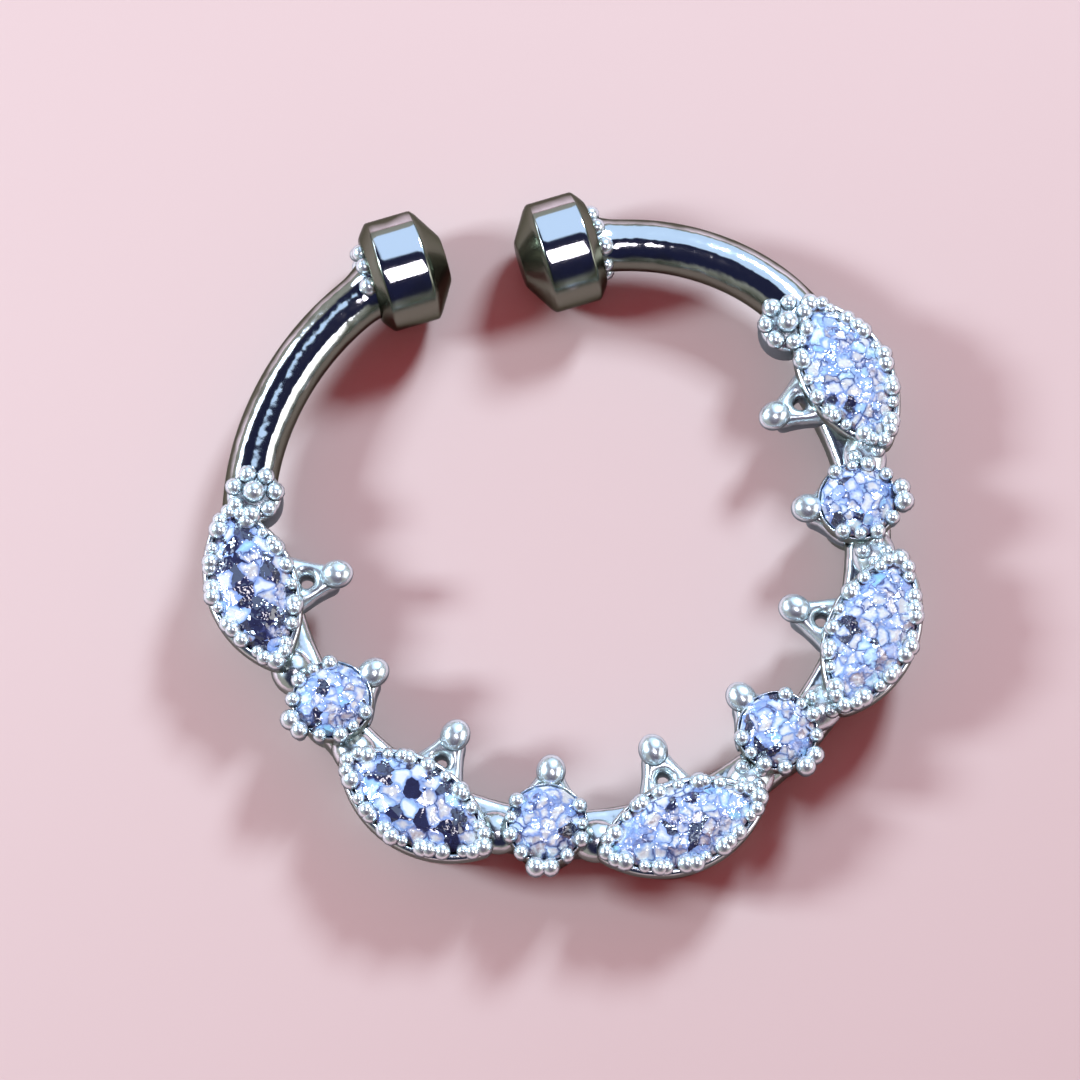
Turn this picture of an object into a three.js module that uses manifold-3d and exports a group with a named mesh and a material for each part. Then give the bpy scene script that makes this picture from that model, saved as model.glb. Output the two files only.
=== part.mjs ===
// Clip-on nose ring: an open metal hoop lying flat, with nine cut stones set face up along its
// jewelled part and a drum-shaped cap on each end of the plain wire.
//
// Millimetres, +Z up. The hoop lies in the XY plane round the Z axis and its mouth opens towards +Y.
// Places along the hoop are clock angles in degrees: 0 is +Y, 90 is +X, 180 is -Y.

import * as THREE from 'three';
import { mergeVertices } from 'three/addons/utils/BufferGeometryUtils.js';
import Module from 'manifold-3d';

const wasm = await Module();
wasm.setup();

// ---------- driving dimensions ----------

const wire = { radius: 0.5, sides: 12, steps: 10 };

const cap = { radius: 1.085, length: 1.5, sides: 24 };
const capProfile = [
  // distance along the cap from the wire's side, and radius there; the last row is the flat face
  { along: 0, radius: 0.8 },
  { along: 0.07, radius: 0.95 },
  { along: 0.25, radius: 1.085 },
  { along: 1.0, radius: 1.085 },
  { along: 1.2, radius: 0.95 },
  { along: 1.5, radius: 0.46 },
];
const mouth = 1.34; // between the two flat faces
const caps = {
  left: { x: -(mouth + cap.length) / 2, y: 6.0, facing: 1 },
  right: { x: (mouth + cap.length) / 2, y: 5.46, facing: -1 },
};
const axisHeight = cap.radius; // of the wire, so that the caps and the settings stand level

// Each arm's axis as clock angle and radius, from inside its last setting to inside its cap.
const arms = {
  left: [
    { angle: -70, radius: 6.1 },
    { angle: -58, radius: 6.16 },
    { angle: -46, radius: 6.19 },
    { angle: -34, radius: 6.2 },
    { angle: -23, radius: 6.19 },
    { angle: -15, radius: 6.17 },
  ],
  right: [
    { angle: 68, radius: 6.12 },
    { angle: 57, radius: 6.22 },
    { angle: 47, radius: 6.19 },
    { angle: 36, radius: 6.06 },
    { angle: 26, radius: 5.88 },
    { angle: 16, radius: 5.7 },
  ],
};

// The settings from the right arm round to the left one, each by its stone's centre. A turned one
// lies that many degrees anticlockwise of the hoop's own direction. clawAt is the radius at which
// the ball of its claw stands.
const settings = [
  { kind: 'marquise', angle: 76, radius: 6.1, turn: -4, clawAt: 4.47 },
  { kind: 'round', angle: 100.5, radius: 5.44, turn: 0, clawAt: 4.45 },
  { kind: 'marquise', angle: 126, radius: 5.96, turn: -2, clawAt: 4.4 },
  { kind: 'round', angle: 151.8, radius: 5.42, turn: 0, clawAt: 4.44 },
  { kind: 'marquise', angle: 176.8, radius: 5.99, turn: 0, clawAt: 4.4 },
  { kind: 'round', angle: 201.6, radius: 5.6, turn: 0, clawAt: 4.54 },
  { kind: 'marquise', angle: 226, radius: 5.96, turn: -4, clawAt: 4.4 },
  { kind: 'round', angle: 251, radius: 5.5, turn: 0, clawAt: 4.52 },
  { kind: 'marquise', angle: 277, radius: 6.06, turn: 8, clawAt: 4.42 },
];

// The band under the settings, from one shoulder to the other.
const band = { from: 63, to: 292, inner: 5.2, outer: 6.06, low: 0.3, high: 1.05, bevel: 0.16, step: 7 };

const stoneGap = 0.02; // between a stone and the metal round it
const girdleHeight = 1.5;
const overrun = 0.1; // of a hole past the faces that it opens

const marquise = {
  halfLength: 1.5,
  halfWidth: 0.75,
  stepsPerArc: 8,
  wall: 0.15,
  tipWall: 0.24,
  foot: { halfLength: 1.3, halfWidth: 0.68 },
  hole: { halfLength: 0.85, halfWidth: 0.36 },
  window: { x: 0.6, width: 0.44, depth: 3, low: 0.36, high: 0.98 },
  claw: { rootHalf: 0.46, tipHalf: 0.24, rootY: -0.5 },
  beads: [
    { x: 1.4, y: 0.2, radius: 0.15 },
    { x: 1.4, y: -0.2, radius: 0.15 },
    { x: -1.4, y: 0.2, radius: 0.15 },
    { x: -1.4, y: -0.2, radius: 0.15 },
    { x: 0, y: 0.8, radius: 0.17 },
    { x: 0.68, y: 0.66, radius: 0.15 },
    { x: -0.68, y: 0.66, radius: 0.15 },
    { x: 0.68, y: -0.66, radius: 0.13 },
    { x: -0.68, y: -0.66, radius: 0.13 },
  ],
};
const round = {
  radius: 0.7,
  sides: 16,
  wall: 0.1,
  foot: 0.64,
  hole: 0.34,
  claw: { rootHalf: 0.62, tipHalf: 0.2, rootY: -0.3 },
  beads: [
    { x: 0.17, y: 0.76, radius: 0.15 },
    { x: -0.17, y: 0.76, radius: 0.15 },
    { x: 0.66, y: 0.32, radius: 0.12 },
    { x: -0.66, y: 0.32, radius: 0.12 },
    { x: 0.66, y: -0.3, radius: 0.12 },
    { x: -0.66, y: -0.3, radius: 0.12 },
  ],
};
const basket = { waist: 0.45, rim: 1.48, steps: 12 }; // waist: top of the straight foot
const claw = { low: 0.62, high: 1.22, ballRadius: 0.28, ballHeight: 1.36, sides: 10, rings: 6 };
// A bead is a short peg with a domed head; the dome's sizes are shares of the bead's radius.
const bead = { low: 1.0, height: 1.62, sides: 6, domeHeight: 0.8, domeRadius: 0.6 };

// Small boss with a ring of beads, where the jewelled part ends beside each arm.
const shoulder = {
  radius: 0.42,
  taper: 0.04,
  sides: 12,
  low: 0.3,
  high: 1.42,
  beads: 5,
  beadRadius: 0.14,
};
const shoulders = [
  { angle: 62, radius: 5.82 },
  { angle: 292.5, radius: 5.68 },
];

// Facets of a cut stone, in shares of its half width. A facet at reach 1 starts at the girdle and
// would meet the stone's axis at its apex.
const cut = {
  girdle: 0.07,
  table: 0.29,
  crownMain: { reach: 1, apex: 0.687 },
  crownHalf: { reach: 1, apex: 0.872 },
  star: { reach: 1.262, apex: 0.503 },
  pavilionMain: { reach: 1, apex: 0.869 },
  pavilionHalf: { reach: 1, apex: 0.889 },
};

// ---------- placing ----------

const radians = (degrees) => THREE.MathUtils.degToRad(degrees);

function polar(angle, radius, height = 0) {
  const a = radians(angle);
  return new THREE.Vector3(Math.sin(a) * radius, Math.cos(a) * radius, height);
}

// Frame of a place on the hoop: X along the hoop, Y away from its centre, Z up, then turned about Z.
function frameAt(angle, radius, turn = 0) {
  const frame = new THREE.Matrix4().makeRotationZ(radians(turn - angle));
  return frame.setPosition(polar(angle, radius));
}

// ---------- solids ----------

function solid(geometry, frame = new THREE.Matrix4()) {
  const bare = geometry.clone();
  bare.deleteAttribute('normal');
  bare.deleteAttribute('uv');
  const merged = mergeVertices(bare.applyMatrix4(frame), 1e-5);
  const mesh = new wasm.Mesh({
    numProp: 3,
    vertProperties: Float32Array.from(merged.attributes.position.array),
    triVerts: Uint32Array.from(merged.index.array),
  });
  return new wasm.Manifold(mesh);
}

function geometryOf(body) {
  const mesh = body.getMesh();
  const geometry = new THREE.BufferGeometry();
  geometry.setAttribute('position', new THREE.BufferAttribute(mesh.vertProperties, 3));
  geometry.setIndex(new THREE.BufferAttribute(mesh.triVerts, 1));
  return geometry;
}

// Closed body through loops of points, each turning anticlockwise seen from the last loop's side.
function skin(loops) {
  const count = loops[0].length;
  const index = [];
  for (let row = 0; row + 1 < loops.length; row += 1) {
    for (let i = 0; i < count; i += 1) {
      const a = row * count + i;
      const b = row * count + ((i + 1) % count);
      index.push(a, b, b + count, a, b + count, a + count);
    }
  }
  const last = (loops.length - 1) * count;
  for (let i = 1; i + 1 < count; i += 1) {
    index.push(0, i + 1, i);
    index.push(last, last + i, last + i + 1);
  }
  const geometry = new THREE.BufferGeometry().setFromPoints(loops.flat());
  geometry.setIndex(index);
  return geometry;
}

// Closed body through level outlines, bottom first.
function stack(levels) {
  return skin(levels.map(({ z, outline }) => outline.map((p) => new THREE.Vector3(p.x, p.y, z))));
}

function circle(radius, sides) {
  const outline = [];
  for (let i = 0; i < sides; i += 1) {
    const a = (2 * Math.PI * i) / sides;
    outline.push(new THREE.Vector2(radius * Math.cos(a), radius * Math.sin(a)));
  }
  return outline;
}

// Two equal arcs that meet in a point at each end of the X axis.
function almond(halfLength, halfWidth, stepsPerArc) {
  const arcRadius = (halfLength ** 2 + halfWidth ** 2) / (2 * halfWidth);
  const sweep = Math.asin(halfLength / arcRadius);
  const outline = [];
  for (const side of [1, -1]) {
    for (let i = 0; i < stepsPerArc; i += 1) {
      const a = side * sweep * (1 - (2 * i) / stepsPerArc);
      const y = side * (halfWidth - arcRadius * (1 - Math.cos(a)));
      outline.push(new THREE.Vector2(arcRadius * Math.sin(a), y));
    }
  }
  return outline;
}

function ball(radius, sides, rings) {
  return new THREE.SphereGeometry(radius, sides, rings).rotateX(Math.PI / 2);
}

// ---------- cut stones ----------

// Facet directions of an outline: square to each edge, and halfway between the edges at each corner.
function facetDirections(outline) {
  const count = outline.length;
  const edges = outline.map((p, i) => {
    const q = outline[(i + 1) % count];
    return new THREE.Vector2(q.y - p.y, p.x - q.x).normalize();
  });
  const corners = edges.map((e, i) => e.clone().add(edges[(i + count - 1) % count]).normalize());
  return { edges, corners };
}

// A plain one has only the facets that start at the girdle, and holds the full cut inside it.
function cutStone(outline, halfWidth, plain = false) {
  const halfGirdle = (cut.girdle * halfWidth) / 2;
  const block = [
    { z: -2 * halfWidth, outline },
    { z: 2 * halfWidth, outline },
  ];
  let stone = solid(stack(block));
  const facets = (directions, { reach, apex }, side) => {
    for (const d of directions) {
      const support = reach * Math.max(...outline.map((p) => p.dot(d)));
      const normal = new THREE.Vector3(d.x / support, d.y / support, side / (apex * halfWidth));
      const offset = (1 + halfGirdle / (apex * halfWidth)) / normal.length();
      normal.normalize();
      stone = stone.trimByPlane([-normal.x, -normal.y, -normal.z], -offset);
    }
  };
  const { edges, corners } = facetDirections(outline);
  const mains = corners.filter((_, i) => i % 2 === 0);
  const stars = corners.filter((_, i) => i % 2 === 1);
  facets(edges, cut.crownHalf, 1);
  facets(edges, cut.pavilionHalf, -1);
  if (!plain) {
    facets(mains, cut.crownMain, 1);
    facets(stars, cut.star, 1);
    facets(mains, cut.pavilionMain, -1);
  }
  stone = stone.trimByPlane([0, 0, -1], -(cut.table * halfWidth + halfGirdle));
  return geometryOf(stone);
}

const outlines = {
  marquise: almond(marquise.halfLength, marquise.halfWidth, marquise.stepsPerArc),
  round: circle(round.radius, round.sides),
};
const stones = {
  marquise: cutStone(outlines.marquise, marquise.halfWidth),
  round: cutStone(outlines.round, round.radius),
};

// ---------- the hoop's pieces ----------

function capSolid({ x, y, facing }) {
  const profile = capProfile.map((row) => new THREE.Vector2(row.radius, row.along - cap.length / 2));
  profile.unshift(new THREE.Vector2(0, -cap.length / 2));
  profile.push(new THREE.Vector2(0, cap.length / 2));
  const drum = new THREE.LatheGeometry(profile, cap.sides);
  drum.rotateY(Math.PI / cap.sides).rotateZ((-facing * Math.PI) / 2);
  return solid(drum.translate(x, y, axisHeight));
}

function armSolid(rows) {
  const path = new THREE.CatmullRomCurve3(
    rows.map(({ angle, radius }) => polar(angle, radius, axisHeight)),
    false,
    'centripetal'
  );
  const section = new THREE.Shape(circle(wire.radius, wire.sides));
  return solid(new THREE.ExtrudeGeometry(section, { steps: wire.steps, extrudePath: path }));
}

function bandSolid() {
  const { from, to, inner, outer, low, high, bevel } = band;
  const section = [
    [inner + bevel, low],
    [outer - bevel, low],
    [outer, low + bevel],
    [outer, high - bevel],
    [outer - bevel, high],
    [inner + bevel, high],
    [inner, high - bevel],
    [inner, low + bevel],
  ];
  const steps = Math.round((to - from) / band.step);
  const loops = [];
  for (let i = 0; i <= steps; i += 1) {
    const angle = from + ((to - from) * i) / steps;
    loops.push(section.map(([radius, z]) => polar(angle, radius, z)));
  }
  return solid(skin(loops));
}

function clawSolids({ rootHalf, tipHalf, rootY }, tipY, frame) {
  const outline = [
    new THREE.Vector2(-rootHalf, rootY),
    new THREE.Vector2(-tipHalf, tipY),
    new THREE.Vector2(tipHalf, tipY),
    new THREE.Vector2(rootHalf, rootY),
  ];
  const web = stack([
    { z: claw.low, outline },
    { z: claw.high, outline },
  ]);
  const tip = ball(claw.ballRadius, claw.sides, claw.rings).translate(0, tipY, claw.ballHeight);
  return [solid(web, frame), solid(tip, frame)];
}

function beadSolids(rows, height, frame) {
  return rows.map(({ x, y, radius }) => {
    const peg = stack([
      { z: bead.low, outline: circle(radius, bead.sides) },
      { z: height, outline: circle(radius, bead.sides) },
      {
        z: height + bead.domeHeight * radius,
        outline: circle(bead.domeRadius * radius, bead.sides),
      },
    ]);
    return solid(peg.translate(x, y, 0), frame);
  });
}

function marquiseSetting({ angle, radius: ringRadius, turn, clawAt }) {
  const frame = frameAt(angle, ringRadius, turn);
  const { halfLength, halfWidth, wall, tipWall, foot, hole, window } = marquise;
  const stepsPerArc = basket.steps / 2;
  const footOutline = almond(foot.halfLength, foot.halfWidth, stepsPerArc);
  const holeOutline = almond(hole.halfLength, hole.halfWidth, stepsPerArc);
  const cup = stack([
    { z: 0, outline: footOutline },
    { z: basket.waist, outline: footOutline },
    { z: basket.rim, outline: almond(halfLength + tipWall, halfWidth + wall, stepsPerArc) },
  ]);
  const bore = stack([
    { z: -overrun, outline: holeOutline },
    { z: girdleHeight - overrun, outline: holeOutline },
  ]);
  const windows = [-1, 1].map((side) => {
    const slot = new THREE.BoxGeometry(window.width, window.depth, window.high - window.low);
    return solid(slot.translate(side * window.x, 0, (window.high + window.low) / 2), frame);
  });
  return {
    metal: [
      solid(cup, frame),
      ...clawSolids(marquise.claw, clawAt - ringRadius, frameAt(angle, ringRadius)),
      ...beadSolids(marquise.beads, bead.height, frame),
    ],
    cuts: [solid(bore, frame), seatOf(outlines.marquise, halfWidth, frame), ...windows],
  };
}

function roundSetting({ angle, radius: ringRadius, turn, clawAt }) {
  const frame = frameAt(angle, ringRadius, turn);
  const { radius, wall, foot, hole } = round;
  const cup = stack([
    { z: 0, outline: circle(foot, basket.steps) },
    { z: basket.waist, outline: circle(foot, basket.steps) },
    { z: basket.rim, outline: circle(radius + wall, basket.steps) },
  ]);
  const bore = stack([
    { z: -overrun, outline: circle(hole, basket.steps) },
    { z: girdleHeight - overrun, outline: circle(hole, basket.steps) },
  ]);
  return {
    metal: [
      solid(cup, frame),
      ...clawSolids(round.claw, clawAt - ringRadius, frameAt(angle, ringRadius)),
      ...beadSolids(round.beads, bead.height, frame),
    ],
    cuts: [solid(bore, frame), seatOf(outlines.round, radius, frame)],
  };
}

// The room that a stone and its gap take.
function seatOf(outline, halfWidth, frame) {
  const grown = 1 + stoneGap / halfWidth;
  const lifted = new THREE.Matrix4().makeTranslation(0, 0, girdleHeight).scale(
    new THREE.Vector3(grown, grown, grown)
  );
  return solid(cutStone(outline, halfWidth, true), frame.clone().multiply(lifted));
}

function shoulderSolids({ angle, radius: ringRadius }) {
  const frame = frameAt(angle, ringRadius);
  const { radius, taper, sides, low, high, beads, beadRadius } = shoulder;
  const boss = stack([
    { z: low, outline: circle(radius, sides) },
    { z: high, outline: circle(radius - taper, sides) },
  ]);
  const rows = [];
  for (let i = 0; i < beads; i += 1) {
    const a = (2 * Math.PI * i) / beads;
    const reach = radius - taper;
    rows.push({ x: reach * Math.cos(a), y: reach * Math.sin(a), radius: beadRadius });
  }
  return [solid(boss, frame), ...beadSolids(rows, high, frame)];
}

// ---------- assembly ----------

const makers = { marquise: marquiseSetting, round: roundSetting };
const built = settings.map((setting) => makers[setting.kind](setting));
const metalParts = [
  bandSolid(),
  ...shoulders.flatMap(shoulderSolids),
  ...Object.values(arms).map(armSolid),
  ...Object.values(caps).map(capSolid),
  ...built.flatMap(({ metal }) => metal),
];
let hoopSolid = metalParts.reduce((whole, piece) => whole.add(piece));
for (const hollow of built.flatMap(({ cuts }) => cuts)) {
  hoopSolid = hoopSolid.subtract(hollow);
}

const silver = new THREE.MeshStandardMaterial({ color: 0xc9ccd4, roughness: 0.15, metalness: 1 });
const zirconia = { color: 0xdfe4ff, roughness: 0.02, metalness: 0 };

const ring = new THREE.Group();
const hoop = new THREE.Mesh(geometryOf(hoopSolid), silver);
hoop.name = 'hoop';
ring.add(hoop);

const made = { marquise: 0, round: 0 };
for (const { kind, angle, radius, turn } of settings) {
  made[kind] += 1;
  const stone = new THREE.Mesh(stones[kind].clone(), new THREE.MeshStandardMaterial(zirconia));
  stone.name = `${kind}_stone_${made[kind]}`;
  stone.position.copy(polar(angle, radius, girdleHeight));
  stone.rotation.z = radians(turn - angle);
  ring.add(stone);
}

// The origin is the middle of the bounding box's bottom face.
const exactly = true;
const box = new THREE.Box3().setFromObject(ring, exactly);
const centre = box.getCenter(new THREE.Vector3());
ring.position.set(-centre.x, -centre.y, -box.min.z);

export default ring;
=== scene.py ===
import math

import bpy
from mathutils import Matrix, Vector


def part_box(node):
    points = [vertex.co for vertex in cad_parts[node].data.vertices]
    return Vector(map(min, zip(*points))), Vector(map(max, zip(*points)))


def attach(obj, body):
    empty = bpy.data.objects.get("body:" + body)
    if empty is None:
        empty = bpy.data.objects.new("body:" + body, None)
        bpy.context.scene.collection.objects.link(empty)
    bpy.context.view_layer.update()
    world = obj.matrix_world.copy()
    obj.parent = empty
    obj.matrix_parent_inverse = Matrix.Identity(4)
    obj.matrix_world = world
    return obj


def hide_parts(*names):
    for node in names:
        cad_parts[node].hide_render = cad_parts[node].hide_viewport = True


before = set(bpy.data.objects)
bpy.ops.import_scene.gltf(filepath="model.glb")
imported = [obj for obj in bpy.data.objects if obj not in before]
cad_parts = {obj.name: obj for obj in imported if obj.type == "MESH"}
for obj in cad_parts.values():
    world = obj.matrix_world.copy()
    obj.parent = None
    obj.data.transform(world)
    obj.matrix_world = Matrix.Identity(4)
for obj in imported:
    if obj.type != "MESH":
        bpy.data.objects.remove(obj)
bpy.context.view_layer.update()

# Clip-on nose ring: the metal of its hoop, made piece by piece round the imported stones.
#
# Every piece is shaped on a bench at the origin, where one unit is a millimetre, and is then set
# into the ring in metres. A setting's own axes are X along the hoop, Y away from its centre, Z up.

MM = 0.001
BENCH = Matrix.Scale(MM, 4)

# ---------- sizes, in millimetres ----------

HOOP_CENTRE = Vector((0.0485, -0.0723, 0))
AXIS_HEIGHT = 1.085  # of the wire and the drums

WIRE_RADIUS = 0.5
WIRE_SIDES = 28
# Each arm's axis as clock angle in degrees and radius, from inside the last setting to the drum.
ARMS = {
    "left": [(-70, 6.1), (-58, 6.16), (-46, 6.19), (-34, 6.2), (-23, 6.19), (-15, 6.17)],
    "right": [(68, 6.12), (57, 6.22), (47, 6.19), (36, 6.06), (26, 5.88), (16, 5.7)],
}

DRUM_LENGTH = 1.5
DRUM_RADIUS = 1.074
MOUTH = 1.34
DRUM_HEIGHTS = {"left": 6.0, "right": 5.46}  # along Y from the hoop's centre
OUTWARD = {"left": -1, "right": 1}  # along X, from the mouth to each drum's wire

# How far each setting lies turned from the hoop's own direction, in degrees anticlockwise.
MARQUISE_TURNS = (-4, -2, 0, -4, 8)
ROUND_TURNS = (0, 0, 0, 0)
CLAW_RINGS = {  # radius at which the balls of the claws stand
    "marquise": (4.47, 4.4, 4.4, 4.4, 4.42),
    "round": (4.45, 4.44, 4.54, 4.52),
}


# ---------- bench tools ----------

WELD = 1e-5  # points nearer to each other than this become one


def clear_bench():
    """Leaves edit mode with nothing selected."""
    if bpy.context.object and bpy.context.object.mode != "OBJECT":
        bpy.ops.object.mode_set(mode="OBJECT")
    bpy.ops.object.select_all(action="DESELECT")


def only(piece):
    """Selects the piece and nothing else."""
    clear_bench()
    piece.select_set(True)
    bpy.context.view_layer.objects.active = piece


def with_none_selected(piece):
    """The piece's mesh out of edit mode, so that a test can select in it."""
    bpy.ops.object.mode_set(mode="OBJECT")
    mesh = piece.data
    for item in (*mesh.vertices, *mesh.edges, *mesh.polygons):
        item.select = False
    return mesh


def select_faces(piece, wanted):
    """Selects the faces, in edit mode, whose middle and normal pass the test."""
    for face in with_none_selected(piece).polygons:
        face.select = wanted(face.center, face.normal)
    bpy.ops.object.mode_set(mode="EDIT")
    bpy.ops.mesh.select_mode(type="FACE")


def select_ring(piece, wanted):
    """Selects the edges, in edit mode, that have both ends where the test says."""
    mesh = with_none_selected(piece)
    for edge in mesh.edges:
        edge.select = all(wanted(mesh.vertices[v].co) for v in edge.vertices)
    for edge in mesh.edges:
        if edge.select:
            for v in edge.vertices:
                mesh.vertices[v].select = True
    bpy.ops.object.mode_set(mode="EDIT")
    bpy.ops.mesh.select_mode(type="EDGE")


def extrude_to(scale_x, scale_y, lift):
    """Extrudes the selected loop upwards, then scales it about the Z axis."""
    bpy.ops.mesh.extrude_region_move(TRANSFORM_OT_translate={"value": (0, 0, lift)})
    bpy.ops.transform.resize(value=(scale_x, scale_y, 1), center_override=(0, 0, 0))


def extrude_rows(rows):
    """Extrudes the selected loop by a table of widenings and rises."""
    for widening, rise in rows:
        extrude_to(widening, widening, rise)


def close_up():
    """Welds what lies together, points every face outwards and leaves edit mode."""
    bpy.ops.mesh.select_all(action="SELECT")
    bpy.ops.mesh.remove_doubles(threshold=WELD)
    bpy.ops.mesh.normals_make_consistent(inside=False)
    clear_bench()


def finish_with(piece, kind, **settings):
    """Adds a modifier and applies it."""
    only(piece)
    modifier = piece.modifiers.new(kind.lower(), kind)
    for name, value in settings.items():
        setattr(modifier, name, value)
    bpy.ops.object.modifier_apply(modifier=modifier.name)


def smooth_out(piece, levels):
    """Rounds the piece by subdividing it."""
    finish_with(piece, "SUBSURF", levels=levels, render_levels=levels)
    only(piece)
    bpy.ops.object.shade_smooth()


def join(name, pieces):
    """One piece out of several that are cast together."""
    clear_bench()
    for piece in pieces:
        piece.select_set(True)
    bpy.context.view_layer.objects.active = pieces[0]
    if len(pieces) > 1:
        bpy.ops.object.join()
    pieces[0].name = name
    pieces[0].data.name = name
    return pieces[0]


def copy_of(piece):
    """A copy with its own mesh."""
    only(piece)
    bpy.ops.object.duplicate(linked=False)
    return bpy.context.object


def scrap(piece):
    only(piece)
    bpy.ops.object.delete()


def varied(middle, spread, pace, i):
    """A size that differs a little from each bead to the next."""
    return middle + spread * math.sin(pace * i)


# ---------- places ----------


def polar(angle, radius, height=0.0):
    """A point from its clock angle in degrees round the hoop."""
    a = math.radians(angle)
    return HOOP_CENTRE + Vector((math.sin(a) * radius, math.cos(a) * radius, height))


def frame_at(angle, radius, turn=0.0):
    """X along the hoop, Y away from its centre, Z up, then turned about Z."""
    place = Matrix.Translation(polar(angle, radius))
    return place @ Matrix.Rotation(math.radians(turn - angle), 4, "Z")


def stone_place(name):
    """Clock angle and radius of a stone's middle."""
    low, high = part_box(name)
    middle = (low + high) / 2 / MM - HOOP_CENTRE
    return math.degrees(math.atan2(middle.x, middle.y)), math.hypot(middle.x, middle.y)


def set_in_ring(piece, name, place, finish):
    """Moves a finished piece from the bench to its place, in metres, as part of the ring."""
    clear_bench()
    piece.name = name
    piece.data.name = name
    piece.data.transform(BENCH @ place)
    piece.data.materials.clear()
    piece.data.materials.append(finish)
    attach(piece, "root")
    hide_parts("hoop")


# ---------- wire arms ----------

ARM_STEPS = 7  # between two rows of an arm's table
COLLAR_RADIUS = 0.6  # the wire swells to this where it meets its drum
COLLAR_REACH = 0.34


def through(before, a, b, after, t):
    """Smooth value between a and b, with the slopes that their neighbours give."""
    rise, fall = (b - before) / 2, (after - a) / 2
    return (
        a * (2 * t**3 - 3 * t**2 + 1)
        + b * (3 * t**2 - 2 * t**3)
        + rise * (t**3 - 2 * t**2 + t)
        + fall * (t**3 - t**2)
    )


def arm_path(rows):
    """Points along an arm's axis, smooth through the rows of its table."""
    points = []
    last = len(rows) - 1
    for i in range(last):
        near = [rows[max(i - 1, 0)], rows[i], rows[i + 1], rows[min(i + 2, last)]]
        for step in range(ARM_STEPS):
            angle, radius = (through(*(row[k] for row in near), step / ARM_STEPS) for k in (0, 1))
            points.append(polar(angle, radius, AXIS_HEIGHT))
    points.append(polar(*rows[-1], AXIS_HEIGHT))
    return points


def drum_back(side):
    """X of a drum's face on the wire's side."""
    return HOOP_CENTRE.x + OUTWARD[side] * (MOUTH / 2 + DRUM_LENGTH)


def drum_back_middle(side):
    """Where the wire's axis meets that face."""
    middle = HOOP_CENTRE + Vector((0, DRUM_HEIGHTS[side], AXIS_HEIGHT))
    middle.x = drum_back(side)
    return middle


def wire_arm(side):
    """Round wire, drawn out along its path, with a collar of solder at its drum."""
    path = arm_path(ARMS[side])
    ends = [path[1] - path[0]] + [b - a for a, b in zip(path, path[2:])] + [path[-1] - path[-2]]
    headings = [math.atan2(d.y, d.x) for d in ends]
    bpy.ops.mesh.primitive_circle_add(
        vertices=WIRE_SIDES,
        radius=WIRE_RADIUS,
        fill_type="NGON",
        location=path[0],
        rotation=(math.pi / 2, 0, headings[0] + math.pi / 2),
    )
    wire = bpy.context.object
    bpy.ops.object.transform_apply(location=True, rotation=True, scale=True)
    bpy.ops.object.mode_set(mode="EDIT")
    bpy.ops.mesh.select_all(action="SELECT")
    radius = WIRE_RADIUS
    for i in range(1, len(path)):
        bpy.ops.mesh.extrude_region_move(
            TRANSFORM_OT_translate={"value": path[i] - path[i - 1]}
        )
        turn = (headings[i] - headings[i - 1] + math.pi) % (2 * math.pi) - math.pi
        bpy.ops.transform.rotate(value=-turn, orient_axis="Z", center_override=path[i])
        away = abs(path[i].x - HOOP_CENTRE.x) - abs(drum_back(side) - HOOP_CENTRE.x)
        swell = max(0.0, 1 - max(away, 0.0) / COLLAR_REACH) ** 2
        wanted = WIRE_RADIUS + (COLLAR_RADIUS - WIRE_RADIUS) * swell
        bpy.ops.transform.resize(value=(wanted / radius,) * 3, center_override=path[i])
        radius = wanted
    close_up()
    smooth_out(wire, 1)
    return wire


# ---------- drums and their collars ----------

DRUM_SIDES = 72
DRUM_PROFILE = [  # distance from the wire's side, and radius there
    (0.0, 0.8),
    (0.03, 0.86),
    (0.11, 0.965),
    (0.2, DRUM_RADIUS),
    (0.32, DRUM_RADIUS),
    (0.96, DRUM_RADIUS),
    (1.08, DRUM_RADIUS),
    (1.16, 0.985),
    (1.42, 0.57),
    (1.5, 0.44),
]


def drum(side):
    """Turned cap with a narrow chamfer behind and a wide one round its flat face."""
    bpy.ops.mesh.primitive_circle_add(
        vertices=DRUM_SIDES, radius=DRUM_PROFILE[0][1], fill_type="NGON", enter_editmode=True
    )
    cap = bpy.context.object
    for (low, wide), (high, narrow) in zip(DRUM_PROFILE, DRUM_PROFILE[1:]):
        extrude_to(narrow / wide, narrow / wide, high - low)
    close_up()
    finish_with(
        cap, "BEVEL", limit_method="ANGLE", angle_limit=math.radians(8), width=0.05, segments=4
    )
    only(cap)
    bpy.ops.object.shade_smooth_by_angle(angle=math.radians(35))
    lay_down = Matrix.Rotation(-OUTWARD[side] * math.pi / 2, 4, "Y")
    cap.data.transform(Matrix.Translation(drum_back_middle(side)) @ lay_down)
    return cap


COLLAR_BEADS = 9
COLLAR_RING = 0.58  # radius of the ring that they stand on
COLLAR_START = 0.3  # of one bead's share of the ring, before the first one
COLLAR_BEAD = (0.165, 0.025, 2.6)  # radius, with its spread and pace
COLLAR_STAND = (0.06, 0.03, 4.1)  # distance from the drum, likewise


def beaded_collar(side):
    """Ring of small beads round the wire, against its drum."""
    middle = drum_back_middle(side)
    pieces = []
    for i in range(COLLAR_BEADS):
        a = math.tau * (i + COLLAR_START) / COLLAR_BEADS
        x = drum_back(side) + OUTWARD[side] * varied(*COLLAR_STAND, i)
        y, z = COLLAR_RING * math.sin(a), COLLAR_RING * math.cos(a)
        pieces.append(bead(x, middle.y + y, middle.z + z, varied(*COLLAR_BEAD, i)))
    return join("beaded_collar", pieces)


# ---------- cups ----------

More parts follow.
